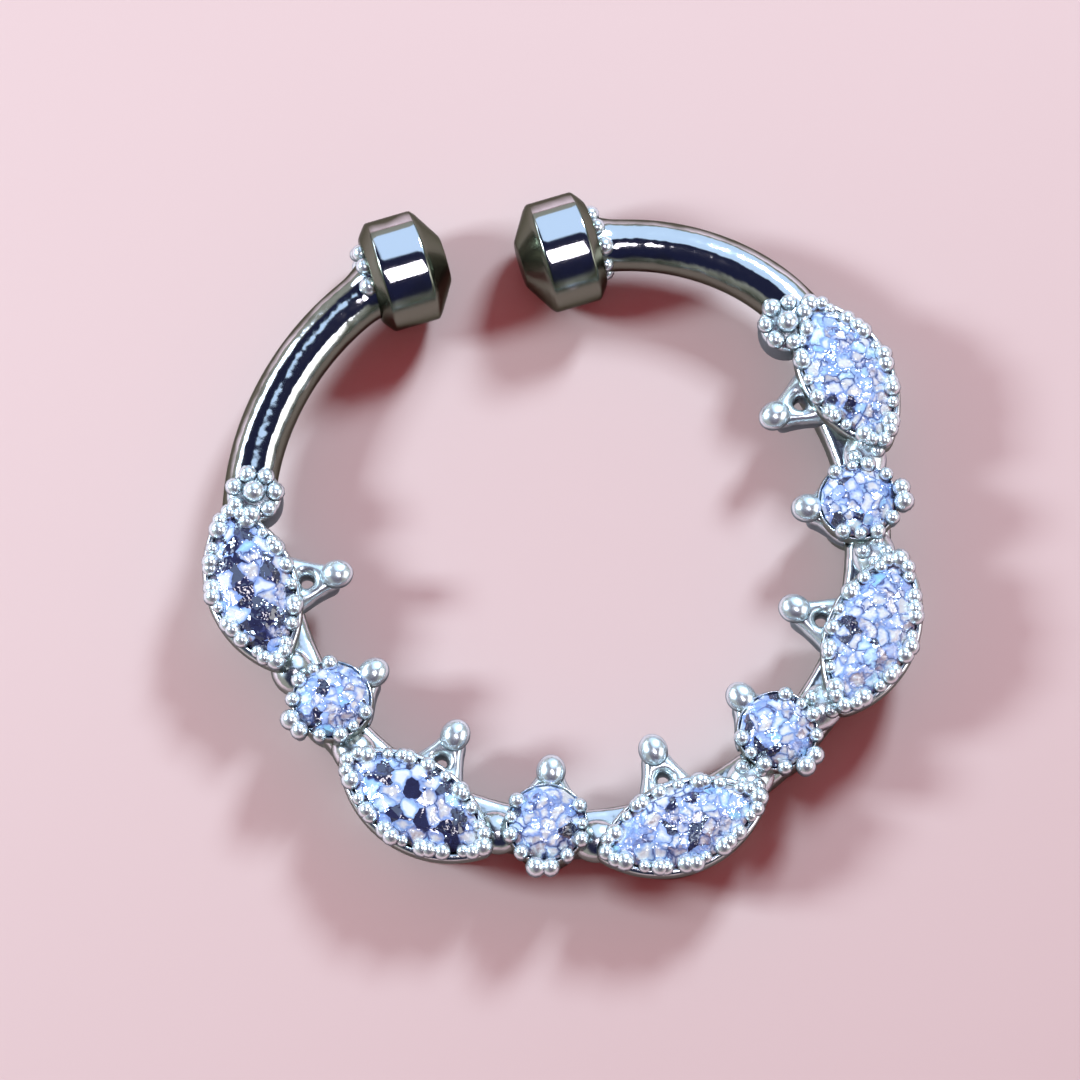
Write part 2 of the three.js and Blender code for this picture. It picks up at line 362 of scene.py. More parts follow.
MARQUISE_CUP = [  # half length, half width and height, up the outside, over the rim and down inside
    (1.27, 0.65, 0.0),
    (1.31, 0.69, 0.05),
    (1.31, 0.69, 0.34),
    (1.4, 0.735, 0.62),
    (1.56, 0.81, 0.98),
    (1.7, 0.875, 1.14),
    (1.735, 0.897, 1.24),
    (1.735, 0.897, 1.42),
    (1.71, 0.88, 1.5),
    (1.56, 0.785, 1.53),
    (1.53, 0.77, 1.47),
    (1.4, 0.68, 1.38),
    (1.12, 0.52, 1.2),
    (0.94, 0.42, 0.98),
    (0.9, 0.4, 0.62),
    (0.9, 0.4, 0.34),
    (0.9, 0.4, 0.05),
    (0.93, 0.43, 0.0),
]
ROUND_CUP = [  # radius and height
    (0.6, 0.0),
    (0.64, 0.05),
    (0.64, 0.34),
    (0.66, 0.62),
    (0.71, 0.98),
    (0.765, 1.14),
    (0.785, 1.24),
    (0.785, 1.42),
    (0.77, 1.5),
    (0.742, 1.53),
    (0.725, 1.47),
    (0.62, 1.38),
    (0.46, 1.2),
    (0.38, 0.98),
    (0.36, 0.62),
    (0.36, 0.34),
    (0.36, 0.05),
    (0.39, 0.0),
]
ARC_STEPS = 16  # of a marquise outline, for each of its two arcs
ROUND_SIDES = 24
TIP_WELD = 1e-4  # joins the two arcs of a marquise outline
FLOOR = 1e-4  # a cup's points below this are its foot
WINDOW_LOW, WINDOW_HIGH = 0.34, 0.98
WINDOW_OUTSIDE = (0.36, 0.79)  # from the cup's middle, on its outer wall
WINDOW_INSIDE = (0.26, 0.5)  # the same in its bore
WALL_MIDDLE = 0.45  # from there on out a face is on the outer wall


def arc_of(half_length, half_width):
    """Radius of each arc of a marquise outline, and half the angle that it sweeps."""
    radius = (half_length**2 + half_width**2) / (2 * half_width)
    return radius, math.asin(half_length / radius)


def almond(half_length, half_width):
    """Two arcs that meet in a point at each end: a closed loop, selected, in edit mode."""
    arc_radius, sweep = arc_of(half_length, half_width)
    bpy.ops.mesh.primitive_plane_add(size=1, enter_editmode=True)
    bpy.ops.mesh.select_mode(type="VERT")
    bpy.ops.mesh.merge(type="CENTER")
    bpy.ops.transform.translate(value=(-half_length, 0, 0))
    bpy.ops.mesh.spin(
        steps=ARC_STEPS, angle=2 * sweep, center=(0, half_width - arc_radius, 0), axis=(0, 0, 1)
    )
    bpy.ops.mesh.select_all(action="SELECT")
    bpy.ops.mesh.duplicate()
    bpy.ops.transform.resize(value=(1, -1, 1), center_override=(0, 0, 0))
    bpy.ops.mesh.select_all(action="SELECT")
    bpy.ops.mesh.remove_doubles(threshold=TIP_WELD)
    bpy.ops.mesh.select_all(action="SELECT")
    return bpy.context.object


def close_ring(cup):
    """Bridges the last loop to the first, under the foot."""
    select_ring(cup, lambda point: point.z < FLOOR)
    bpy.ops.mesh.bridge_edge_loops()


def in_window(centre):
    """Two columns of faces, on the outer wall and where they meet the bore."""
    low, high = WINDOW_OUTSIDE if abs(centre.y) > WALL_MIDDLE else WINDOW_INSIDE
    return WINDOW_LOW < centre.z < WINDOW_HIGH and low < abs(centre.x) < high


def marquise_cup():
    """Open-backed cup with a rim that hugs the girdle, and four windows in its gallery."""
    (length, width, height), *rows = MARQUISE_CUP
    cup = almond(length, width)
    for x, y, z in rows:
        extrude_to(x / length, y / width, z - height)
        length, width, height = x, y, z
    close_ring(cup)
    for along in (-1, 1):
        for side in (-1, 1):
            select_faces(cup, lambda c, _: c.x * along > 0 and c.y * side > 0 and in_window(c))
            bpy.ops.mesh.bridge_edge_loops()
    close_up()
    smooth_out(cup, 2)
    return cup


def round_cup():
    """The small cup of a round stone, open behind."""
    (radius, height), *rows = ROUND_CUP
    bpy.ops.mesh.primitive_circle_add(vertices=ROUND_SIDES, radius=radius, enter_editmode=True)
    cup = bpy.context.object
    bpy.ops.mesh.select_mode(type="EDGE")
    bpy.ops.mesh.select_all(action="SELECT")
    for r, z in rows:
        extrude_to(r / radius, r / radius, z - height)
        radius, height = r, z
    close_ring(cup)
    close_up()
    smooth_out(cup, 2)
    return cup


# ---------- beads ----------

GRAIN_RADIUS = 0.16
GRAIN_PITCH = 0.37
GRAIN_HEIGHT = 1.55
GRAIN_SHARE = (1, 0.24, 2.3)  # of that radius, with its spread and pace
MARQUISE_GRAINS = (1.51, 0.73)  # half length and half width of the line they sit on
PRONG_HEIGHT = 1.58  # of its bead's middle
PRONG_STRETCH = 1.1
POST_FOOT = 1.1
POST_SHARE = 0.55  # of its bead's radius
# Widening and rise of each step up the post.
POST_ROWS = [(1.3, 0.1), (1.15, 0.16), (1.05, 0.16), (0.9, 0.06), (0.5, 0.04)]
MARQUISE_PRONGS = [  # x, y and radius
    (1.4, 0.2, 0.15),
    (-1.4, 0.2, 0.15),
    (1.4, -0.2, 0.15),
    (-1.4, -0.2, 0.15),
    (0.02, 0.775, 0.175),
    (0.68, 0.61, 0.17),
    (-0.7, 0.6, 0.16),
    (0.68, -0.62, 0.15),
    (-0.66, -0.62, 0.15),
]
ROUND_PRONGS = [
    (0.13, 0.86, 0.2),
    (-0.14, 0.84, 0.18),
    (0.42, 0.6, 0.15),
    (-0.43, 0.59, 0.14),
    (0.65, 0.29, 0.16),
    (-0.66, 0.27, 0.16),
    (0.66, -0.04, 0.13),
    (-0.66, -0.02, 0.12),
    (0.58, -0.36, 0.16),
    (-0.58, -0.36, 0.15),
]


def bead(x, y, z, radius, stretch=1.0):
    """A melted drop of metal."""
    bpy.ops.mesh.primitive_uv_sphere_add(segments=12, ring_count=7, radius=radius)
    drop = bpy.context.object
    only(drop)
    bpy.ops.object.shade_smooth()
    drop.data.transform(Matrix.Translation((x, y, z)) @ Matrix.Diagonal((1, 1, stretch, 1)))
    return drop


def post(x, y, radius):
    """The short stem of a prong's bead, which runs down the cup's wall."""
    bpy.ops.mesh.primitive_circle_add(
        vertices=8, radius=radius * POST_SHARE, fill_type="NGON", enter_editmode=True
    )
    stem = bpy.context.object
    extrude_rows(POST_ROWS)
    close_up()
    smooth_out(stem, 2)
    stem.data.transform(Matrix.Translation((x, y, POST_FOOT)))
    return stem


def prongs(rows):
    """The posts of a table of prongs, then the taller beads on them."""
    posts = [post(*row) for row in rows]
    return posts + [bead(x, y, PRONG_HEIGHT, radius, PRONG_STRETCH) for x, y, radius in rows]


def almond_points(half_length, half_width, pitch):
    """Points at about one pitch along both arcs, counted from a tip."""
    arc_radius, sweep = arc_of(half_length, half_width)
    count = round(2 * sweep * arc_radius / pitch)
    points = []
    for side in (-1, 1):
        for i in range(count):
            t = side * (-sweep + 2 * sweep * i / count)
            rise = arc_radius * math.cos(t) - (arc_radius - half_width)
            points.append((arc_radius * math.sin(t), side * rise))
    return points


def marquise_beads():
    """The prongs, and the line of grains along the rim."""
    pieces = prongs(MARQUISE_PRONGS)
    for i, (x, y) in enumerate(almond_points(*MARQUISE_GRAINS, GRAIN_PITCH)):
        pieces.append(bead(x, y, GRAIN_HEIGHT, GRAIN_RADIUS * varied(*GRAIN_SHARE, i)))
    return join("marquise_beads", pieces)


def round_beads():
    return join("round_beads", prongs(ROUND_PRONGS))


# ---------- claws ----------

CLAW_LOW, CLAW_HIGH = 0.62, 1.34
CLAW_BALL = 0.275
CLAW_BALL_HEIGHT = 1.36
CLAW_BALL_BACK = 0.04  # from the claw's end
CLAW_BALL_SHAPE = (1, 1.14, 0.95)
CLAW_SIZES = {  # half widths at root and tip, and Y of the root in its setting
    "marquise": (0.66, 0.25, -0.5),
    "round": (0.74, 0.24, -0.3),
}
CLAW_ROWS = [  # share of the reach, and of the narrowing from root to tip
    (0.05, 0),
    (0.2, 0.1),
    (0.36, 0.3),
    (0.56, 0.6),
    (0.76, 0.85),
    (1, 1),
]
CLAW_HOLE = (0.36, 0.56)  # two of those shares of the reach
CLAW_HOLE_WIDTH = 0.6  # of a third of the claw's width
CLAW_CORE = 0.5  # of its half width, which holds the middle third's edges
LEVEL = 0.9  # least upright share of a level face's normal


def claw(root_half, tip_half, root_y, tip_y):
    """Tongue with hollowed sides and a small pierced hole, ending in a ball over the inside."""
    middle = (CLAW_LOW + CLAW_HIGH) / 2
    bpy.ops.mesh.primitive_grid_add(x_subdivisions=3, y_subdivisions=1, size=1)
    tongue = bpy.context.object
    stand = Matrix.Rotation(math.pi / 2, 4, "X") @ Matrix.Diagonal(
        (2 * root_half, CLAW_HIGH - CLAW_LOW, 1, 1)
    )
    tongue.data.transform(Matrix.Translation((0, root_y, middle)) @ stand)
    only(tongue)
    bpy.ops.object.mode_set(mode="EDIT")
    bpy.ops.mesh.select_all(action="SELECT")
    select_ring(tongue, lambda point: abs(point.x) < CLAW_CORE * root_half)
    bpy.ops.transform.resize(value=(CLAW_HOLE_WIDTH, 1, 1), center_override=(0, 0, middle))
    bpy.ops.mesh.select_all(action="SELECT")
    reach = tip_y - root_y
    half, far = root_half, 0.0
    for share, narrow in CLAW_ROWS:
        wanted = root_half + (tip_half - root_half) * narrow
        bpy.ops.mesh.extrude_region_move(
            TRANSFORM_OT_translate={"value": (0, reach * (share - far), 0)}
        )
        bpy.ops.transform.resize(value=(wanted / half, 1, 1), center_override=(0, 0, middle))
        half, far = wanted, share
    low, high = sorted(root_y + reach * share for share in CLAW_HOLE)
    select_faces(
        tongue,
        lambda c, n: abs(n.z) > LEVEL and abs(c.x) < CLAW_CORE * tip_half and low < c.y < high,
    )
    bpy.ops.mesh.bridge_edge_loops()
    close_up()
    smooth_out(tongue, 2)
    bpy.ops.mesh.primitive_uv_sphere_add(segments=28, ring_count=18, radius=CLAW_BALL)
    ball = bpy.context.object
    only(ball)
    bpy.ops.object.shade_smooth()
    place = Matrix.Translation((0, tip_y + CLAW_BALL_BACK, CLAW_BALL_HEIGHT))
    ball.data.transform(place @ Matrix.Diagonal((*CLAW_BALL_SHAPE, 1)))
    return join("claw", [tongue, ball])


# ---------- band, links and shoulders ----------

BAND_FROM, BAND_TO = 71, 282  # its ends lie under the first and last claws
BAND_INNER, BAND_OUTER = 5.2, 6.06
BAND_LOW, BAND_HIGH = 0.3, 1.05
BAND_MIDDLE = ((BAND_INNER + BAND_OUTER) / 2, (BAND_LOW + BAND_HIGH) / 2)  # radius and height
BAND_CORNER = 0.2
BAND_STEPS = 90


def band():
    """The cast strip that carries the cups, with rounded corners."""
    bpy.ops.mesh.primitive_plane_add(size=1, enter_editmode=True)
    strip = bpy.context.object
    bpy.ops.transform.resize(value=(BAND_OUTER - BAND_INNER, BAND_HIGH - BAND_LOW, 1))
    bpy.ops.mesh.bevel(offset=BAND_CORNER, segments=4, affect="VERTICES")
    clear_bench()
    middle = polar(BAND_FROM, *BAND_MIDDLE)
    stand = Matrix.Rotation(math.radians(90 - BAND_FROM), 4, "Z") @ Matrix.Rotation(
        math.pi / 2, 4, "X"
    )
    strip.data.transform(Matrix.Translation(middle) @ stand)
    only(strip)
    bpy.ops.object.mode_set(mode="EDIT")
    bpy.ops.mesh.select_all(action="SELECT")
    turn = -math.radians(BAND_TO - BAND_FROM) / BAND_STEPS
    for i in range(BAND_STEPS):
        angle = BAND_FROM + (BAND_TO - BAND_FROM) * (i + 1) / BAND_STEPS
        point = polar(angle, *BAND_MIDDLE)
        bpy.ops.mesh.extrude_region_move(TRANSFORM_OT_translate={"value": point - middle})
        bpy.ops.transform.rotate(value=-turn, orient_axis="Z", center_override=point)
        middle = point
    close_up()
    only(strip)
    bpy.ops.object.shade_smooth_by_angle(angle=math.radians(40))
    return strip


LINK_BEADS = [  # x, y and radius
    (0.0, 0.24, 0.15),
    (0.02, -0.22, 0.16),
    (0.22, 0.02, 0.13),
    (-0.2, 0.03, 0.14),
]
LINK_BEAD_HEIGHT = 1.36
LINK_HALF_SIZES = (0.5, 0.42, 0.36)
LINK_HEIGHT = 1.06
LINK_OUT = 0.02  # from the middle of its neighbours' radii
LINK_SHARE = 0.62  # of the way from a marquise stone's middle to a round one's
PLAIN_FROM = 4  # the first four saddles carry beads
PLAIN_DROP = 0.14


def link(beads):
    """Rounded saddle with a few beads, between two neighbouring cups just under their rims."""
    bpy.ops.mesh.primitive_uv_sphere_add(segments=24, ring_count=14, radius=1)
    saddle = bpy.context.object
    only(saddle)
    bpy.ops.object.mode_set(mode="EDIT")
    bpy.ops.mesh.select_all(action="SELECT")
    bpy.ops.transform.resize(value=LINK_HALF_SIZES, center_override=(0, 0, 0))
    close_up()
    smooth_out(saddle, 1)
    saddle.data.transform(Matrix.Translation((0, 0, LINK_HEIGHT)))
    return join("link", [saddle] + [bead(x, y, LINK_BEAD_HEIGHT, r) for x, y, r in beads])


def make_links(melted, cast):
    """One saddle in each gap between neighbouring stones; the last ones are plain and lower."""
    stones = [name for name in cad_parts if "stone" in name]
    places = sorted((angle % 360, radius) for angle, radius in map(stone_place, stones))
    for i, ((before, r1), (after, r2)) in enumerate(zip(places, places[1:])):
        middle = before + (after - before) * (1 - LINK_SHARE if i % 2 else LINK_SHARE)
        place = frame_at(middle, (r1 + r2) / 2 + LINK_OUT)
        plain = i >= PLAIN_FROM
        piece = link([] if plain else LINK_BEADS)
        if plain:
            place = place @ Matrix.Translation((0, 0, -PLAIN_DROP))
        set_in_ring(piece, f"link_{i + 1}", place, cast if plain else melted)


SHOULDERS = {"left": (294, 6.0), "right": (62, 5.8)}  # clock angle and radius
SHOULDER_FOOT = 0.7
SHOULDER_RADIUS = 0.48
SHOULDER_ROWS = [(1.1, 0.04), (1.03, 0.4), (0.98, 0.36), (0.84, 0.1)]  # widening and rise
SHOULDER_TOP = (0.02, 0, 1.68, 0.22)  # place and radius of the middle bead
SHOULDER_BEADS = 7
SHOULDER_BEAD = (0.18, 0.02, 3)  # radius, with its spread and pace
SHOULDER_BEAD_HEIGHT = 1.58
SHOULDER_RING = 0.4  # radius of the ring that they stand on
SHOULDER_START = 0.25  # of one bead's share of the ring, before the first one


def shoulder():
    """Low boss with a ring of seven beads round a taller one."""
    bpy.ops.mesh.primitive_circle_add(
        vertices=24, radius=SHOULDER_RADIUS, fill_type="NGON", enter_editmode=True
    )
    boss = bpy.context.object
    extrude_rows(SHOULDER_ROWS)
    close_up()
    smooth_out(boss, 1)
    boss.data.transform(Matrix.Translation((0, 0, SHOULDER_FOOT)))
    pieces = [boss, bead(*SHOULDER_TOP)]
    for i in range(SHOULDER_BEADS):
        a = math.tau * (i + SHOULDER_START) / SHOULDER_BEADS
        x, y = SHOULDER_RING * math.sin(a), SHOULDER_RING * math.cos(a)
        pieces.append(bead(x, y, SHOULDER_BEAD_HEIGHT, varied(*SHOULDER_BEAD, i)))
    return join("shoulder", pieces)


# ---------- materials ----------


def new_material(name):
    material = bpy.data.materials.new(name)
    material.use_nodes = True
    return material, material.node_tree.nodes["Principled BSDF"]


def new_group(name, inputs, outputs):
    """An empty node group with named sockets."""
    group = bpy.data.node_groups.new(name, "ShaderNodeTree")
    for side, sockets in (("INPUT", inputs), ("OUTPUT", outputs)):
        for label, kind in sockets:
            group.interface.new_socket(label, in_out=side, socket_type=f"NodeSocket{kind}")
    return group, group.nodes.new("NodeGroupInput"), group.nodes.new("NodeGroupOutput")


def node(tree, kind, operation=None, **inputs):
    """A node with some of its inputs set: a value, or a socket to link from."""
    made = tree.nodes.new(f"ShaderNode{kind}")
    if operation:
        made.operation = operation
    for key, value in inputs.items():
        slot = made.inputs[int(key[1:])] if key[0] == "i" and key[1:].isdigit() else None
        slot = slot or made.inputs[key.replace("_", " ")]
        if isinstance(value, bpy.types.NodeSocket):
            tree.links.new(value, slot)
        else:
            slot.default_value = value
    return made


def blend_colors(tree, share, first, second):
    """The first color where the share is 0, the second where it is 1."""
    mix = tree.nodes.new("ShaderNodeMix")
    mix.data_type = "RGBA"
    for label, value in (("Factor", share), ("A", first), ("B", second)):
        slot = next(s for s in mix.inputs if s.name == label and s.enabled)
        if isinstance(value, bpy.types.NodeSocket):
            tree.links.new(value, slot)
        else:
            slot.default_value = value
    return next(s for s in mix.outputs if s.enabled)


PAINTED_SHADE_EDGE = 0.12  # half the width of the edge between the bright metal and the painted shade
RIPPLE_SWAY = 0.5  # how far the ripples move that edge
SPECKS = 9000.0  # in each metre
SPECK_SHARE = 0.06  # of the roughness and of the height
DULL_ROUGHNESS = 0.14  # what the sides with painted shade add to the roughness
WIRE_RIM = (0.35, 0.36, 0.33)  # tint of the wire and the drums where they are seen edge-on


def plating_painted_shade_and_ripples():
    """Plating, bright where it faces up; where it faces away from up its colour turns to a painted
    shade and it grows rougher; with faint ripples.
    """
    group, given, result = new_group(
        "plating painted shade and ripples",
        [
            ("Point", "Vector"),
            ("Outward", "Vector"),
            ("Bright", "Color"),
            ("Painted Shade", "Color"),
            ("Painted Shade Below", "Float"),
            ("Painted Shade Ends", "Float"),
            ("Ripple Scale", "Float"),
            ("Least Roughness", "Float"),
        ],
        [("Color", "Color"), ("Roughness", "Float"), ("Height", "Float")],
    )
    get = given.outputs
    ripple = node(group, "TexNoise", Vector=get["Point"], Scale=get["Ripple Scale"], Detail=2.0)
    speck = node(group, "TexNoise", Vector=get["Point"], Scale=SPECKS, Detail=3.0)
    up = node(group, "SeparateXYZ", i0=get["Outward"])
    sway = node(
        group,
        "Math",
        "MULTIPLY_ADD",
        i0=ripple.outputs["Fac"],
        i1=RIPPLE_SWAY,
        i2=-RIPPLE_SWAY / 2,
    )
    swayed = node(group, "Math", "ADD", i0=up.outputs["Z"], i1=sway.outputs[0])
    ends = node(group, "Math", "ABSOLUTE", i0=up.outputs["X"])
    less = node(group, "Math", "MULTIPLY", i0=ends.outputs[0], i1=get["Painted Shade Ends"])
    facing = node(group, "Math", "SUBTRACT", i0=swayed.outputs[0], i1=less.outputs[0])
    start = node(group, "Math", "SUBTRACT", i0=get["Painted Shade Below"], i1=PAINTED_SHADE_EDGE)
    end = node(group, "Math", "ADD", i0=get["Painted Shade Below"], i1=PAINTED_SHADE_EDGE)
    unshaded_share = node(
        group,
        "MapRange",
        Value=facing.outputs[0],
        From_Min=start.outputs[0],
        From_Max=end.outputs[0],
    )
    # painted shade: the colour darkens on sides facing away from up, and, by Painted Shade Ends, on
    # faces that point along X
    color = blend_colors(group, unshaded_share.outputs["Result"], get["Painted Shade"], get["Bright"])
    painted_shade_share = node(group, "Math", "SUBTRACT", i0=1.0, i1=unshaded_share.outputs["Result"])
    rough = node(
        group,
        "Math",
        "MULTIPLY_ADD",
        i0=painted_shade_share.outputs[0],
        i1=DULL_ROUGHNESS,
        i2=get["Least Roughness"],
    )
    rougher, height = (
        node(group, "Math", "MULTIPLY_ADD", i0=speck.outputs["Fac"], i1=SPECK_SHARE, i2=rest)
        for rest in (rough.outputs[0], ripple.outputs["Fac"])
    )
    group.links.new(color, result.inputs["Color"])
    group.links.new(rougher.outputs[0], result.inputs["Roughness"])
    group.links.new(height.outputs[0], result.inputs["Height"])
    return group


def plating(name, painted_shade_and_ripples, **look):
    """Bright plating with painted shade: its colors, where the painted shade begins, its ripples
    and its gloss.
    """
    material, shader = new_material(name)
    tree = material.node_tree
    where = tree.nodes.new("ShaderNodeTexCoord")
    painted_shade_node = tree.nodes.new("ShaderNodeGroup")
    painted_shade_node.node_tree = painted_shade_and_ripples
    tree.links.new(where.outputs["Object"], painted_shade_node.inputs["Point"])
    tree.links.new(where.outputs["Normal"], painted_shade_node.inputs["Outward"])
    painted_shade_node.inputs["Bright"].default_value = (*look["bright"], 1)
    painted_shade_node.inputs["Painted Shade"].default_value = (*look["dull"], 1)
    # the colour and threshold of the shade painted on sides that face away from up
    painted_shade_node.inputs["Painted Shade Below"].default_value = look["dull_below"]
    painted_shade_node.inputs["Painted Shade Ends"].default_value = look.get("dull_ends", 0)
    painted_shade_node.inputs["Ripple Scale"].default_value = look["ripple_scale"]
    painted_shade_node.inputs["Least Roughness"].default_value = look["roughness"]
    bump = node(tree, "Bump", Height=painted_shade_node.outputs["Height"], Distance=look["ripple_depth"] * MM)
    tree.links.new(painted_shade_node.outputs["Color"], shader.inputs["Base Color"])
    tree.links.new(painted_shade_node.outputs["Roughness"], shader.inputs["Roughness"])
    tree.links.new(bump.outputs["Normal"], shader.inputs["Normal"])
    shader.inputs["Metallic"].default_value = look.get("metallic", 1)
    shader.inputs["Specular Tint"].default_value = (*look.get("rim", WIRE_RIM), 1)
    return material


def drawn_wire(painted_shade_and_ripples):
    return plating(
        "drawn wire",
        painted_shade_and_ripples,
        bright=(0.82, 0.84, 0.88),
        # painted shade: dark olive on the wire's sides facing away from up
        dull=(0.18, 0.19, 0.155),
        dull_below=0.7,
        ripple_scale=1700,
        ripple_depth=0.03,
        roughness=0.06,
    )


def turned_drum(painted_shade_and_ripples):
    return plating(
        "turned drum",
        painted_shade_and_ripples,
        bright=(0.84, 0.85, 0.9),
        # painted shade: dark olive on the drum's lower sides and on its chamfered ends
        dull=(0.19, 0.2, 0.16),
        dull_below=0.7,
        dull_ends=0.6,
        ripple_scale=1200,
        ripple_depth=0.004,
        roughness=0.05,
    )


def cast_setting(painted_shade_and_ripples):
    return plating(
        "cast setting",
        painted_shade_and_ripples,
        bright=(0.9, 0.92, 0.98),
        # painted shade: dark grey on the cups', band's and plain links' sides facing away from up
        dull=(0.3, 0.34, 0.32),
        dull_below=0.52,
        rim=(0.42, 0.43, 0.4),
        ripple_scale=3200,
        ripple_depth=0.02,
        roughness=0.15,
    )


def melted_bead(painted_shade_and_ripples):
    return plating(
        "melted bead",
        painted_shade_and_ripples,
        bright=(0.86, 0.95, 1.0),
        # painted shade: dark grey-blue on the sides of beads, claws, shoulders and links facing
        # away from up
        dull=(0.2, 0.25, 0.27),
        dull_below=0.3,
        ripple_scale=3200,
        ripple_depth=0.012,
        roughness=0.22,
        metallic=0.85,
        rim=(0.6, 0.62, 0.68),
    )


def cut_facets():
    """Cells like small facets, each with a slope, a random shade, a bright painted glint at its
    heart, and broken lines.
    """
    group, given, result = new_group(
        "cut facets",
        [("Point", "Vector"), ("Cells Each Metre", "Float")],
        [
            ("Height", "Float"),
            ("Shade", "Float"),
            ("Luck", "Float"),
            ("Painted Glint", "Float"),
            ("Line", "Float"),
            ("Edge", "Float"),
        ],
    )
    get = given.outputs
    scaled = node(group, "VectorMath", "SCALE", i0=get["Point"], Scale=get["Cells Each Metre"])
    drift = node(group, "TexNoise", Vector=scaled.outputs[0], Scale=0.7, Detail=1.0)
    drifted = node(group, "VectorMath", "ADD", i0=scaled.outputs[0], i1=drift.outputs["Color"])
    shake = node(group, "TexNoise", Vector=scaled.outputs[0], Scale=2.4, Detail=1.0)
    shaken = node(group, "VectorMath", "SCALE", i0=shake.outputs["Color"], Scale=0.4)
    bent = node(group, "VectorMath", "ADD", i0=drifted.outputs[0], i1=shaken.outputs[0])
    cells = node(group, "TexVoronoi", Vector=bent.outputs[0], Scale=1.0)
    edges = node(group, "TexVoronoi", Vector=bent.outputs[0], Scale=1.0)
    edges.feature = "DISTANCE_TO_EDGE"
    across = node(
        group, "VectorMath", "SUBTRACT", i0=bent.outputs[0], i1=cells.outputs["Position"]
    )
    slope = node(group, "VectorMath", "SUBTRACT", i0=cells.outputs["Color"], i1=(0.5, 0.5, 0.5))
    height = node(group, "VectorMath", "DOT_PRODUCT", i0=across.outputs[0], i1=slope.outputs[0])
    chance = node(group, "SeparateColor", Color=cells.outputs["Color"])
    inner = node(
        group, "Math", "MULTIPLY", i0=edges.outputs["Distance"], i1=chance.outputs["Green"]
    )
    painted_glint_mask = node(group, "Math", "MULTIPLY", i0=inner.outputs[0], i1=2.0)
    patchy = node(group, "TexNoise", Vector=scaled.outputs[0], Scale=0.9, Detail=0.0)
    width = node(
        group,
        "MapRange",
        Value=patchy.outputs["Fac"],
        From_Min=0.45,
        From_Max=0.7,
        To_Min=0.004,
        To_Max=0.12,
    )
    line = node(
        group,
        "MapRange",
        Value=edges.outputs["Distance"],
        From_Min=width.outputs["Result"],
        From_Max=0.0,
    )
    for label, socket in (
        ("Height", height.outputs["Value"]),
        ("Shade", chance.outputs["Red"]),
        ("Luck", chance.outputs["Blue"]),
        ("Painted Glint", painted_glint_mask.outputs[0]),
        ("Line", line.outputs["Result"]),
        ("Edge", edges.outputs["Distance"]),
    ):
        group.links.new(socket, result.inputs[label])
    return group


def color_steps(tree, source, steps):
    """Flat colors, one for each share of the source that the steps begin."""
    ramp = tree.nodes.new("ShaderNodeValToRGB")
    ramp.color_ramp.interpolation = "CONSTANT"
    stops = ramp.color_ramp.elements
    for i, (position, color) in enumerate(steps):
        stop = stops[i] if i < 2 else stops.new(position)
        stop.position = position
        stop.color = (*color, 1)
    tree.links.new(source, ramp.inputs["Fac"])
    return ramp.outputs["Color"]


# painted reflections: lavender and pale blue facets stand in for the room seen in a clear stone;
# the glint, rim, dark and line colours below are painted light and shade too
PAINTED_FACET_REFLECTIONS = [  # share of the facets at which each begins
    (0.0, (0.26, 0.46, 0.95)),
    (0.28, (0.34, 0.76, 1.0)),
    (0.52, (0.42, 0.6, 1.0)),
    (0.76, (0.56, 0.92, 1.0)),
]
PAINTED_GLINT_COLOR = (0.86, 1.0, 1.0)
PAINTED_FACET_RIM_COLOR = (0.28, 0.46, 0.9)
PAINTED_DARK_COLOR = (0.03, 0.035, 0.09)
PAINTED_LINE_COLOR = (0.05, 0.07, 0.22)
FACET_DEPTH = 0.16


def zirconia(name, facets, cells, painted_dark_share):
    """Clear stone with a cool sparkle painted into its colour: painted white glints on painted
    lavender and pale blue reflections, a few cells painted dark, and painted dark lines.
    """
    material, shader = new_material(name)
    tree = material.node_tree
    where = tree.nodes.new("ShaderNodeTexCoord")
    cut = tree.nodes.new("ShaderNodeGroup")
    cut.node_tree = facets
    tree.links.new(where.outputs["Object"], cut.inputs["Point"])
    cut.inputs["Cells Each Metre"].default_value = cells
    painted_reflection = color_steps(tree, cut.outputs["Shade"], PAINTED_FACET_REFLECTIONS)
    # painted glint: white at the heart of some facets
    painted_glint = node(tree, "MapRange", Value=cut.outputs["Painted Glint"], From_Min=0.03, From_Max=0.17)
    with_painted_glints = blend_colors(tree, painted_glint.outputs["Result"], painted_reflection, (*PAINTED_GLINT_COLOR, 1))
    rim = node(tree, "MapRange", Value=cut.outputs["Edge"], From_Min=0.0, From_Max=0.24)
    with_painted_glints = blend_colors(tree, rim.outputs["Result"], (*PAINTED_FACET_RIM_COLOR, 1), with_painted_glints)
    # painted dark reflections: a share of the facets painted near black
    dark = node(tree, "Math", "GREATER_THAN", i0=cut.outputs["Luck"], i1=1 - painted_dark_share)
    with_painted_dark = blend_colors(tree, dark.outputs[0], with_painted_glints, (*PAINTED_DARK_COLOR, 1))
    lined = blend_colors(tree, cut.outputs["Line"], with_painted_dark, (*PAINTED_LINE_COLOR, 1))
    tree.links.new(lined, shader.inputs["Base Color"])
    bump = node(tree, "Bump", Height=cut.outputs["Height"], Distance=FACET_DEPTH * MM)
    tree.links.new(bump.outputs["Normal"], shader.inputs["Normal"])
    shader.inputs["Roughness"].default_value = 0.06
    shader.inputs["IOR"].default_value = 2.15
    shader.inputs["Transmission Weight"].default_value = 0.2
    return material


PAPER_COLORS = ((0.555, 0.445, 0.422, 1), (0.585, 0.475, 0.452, 1))


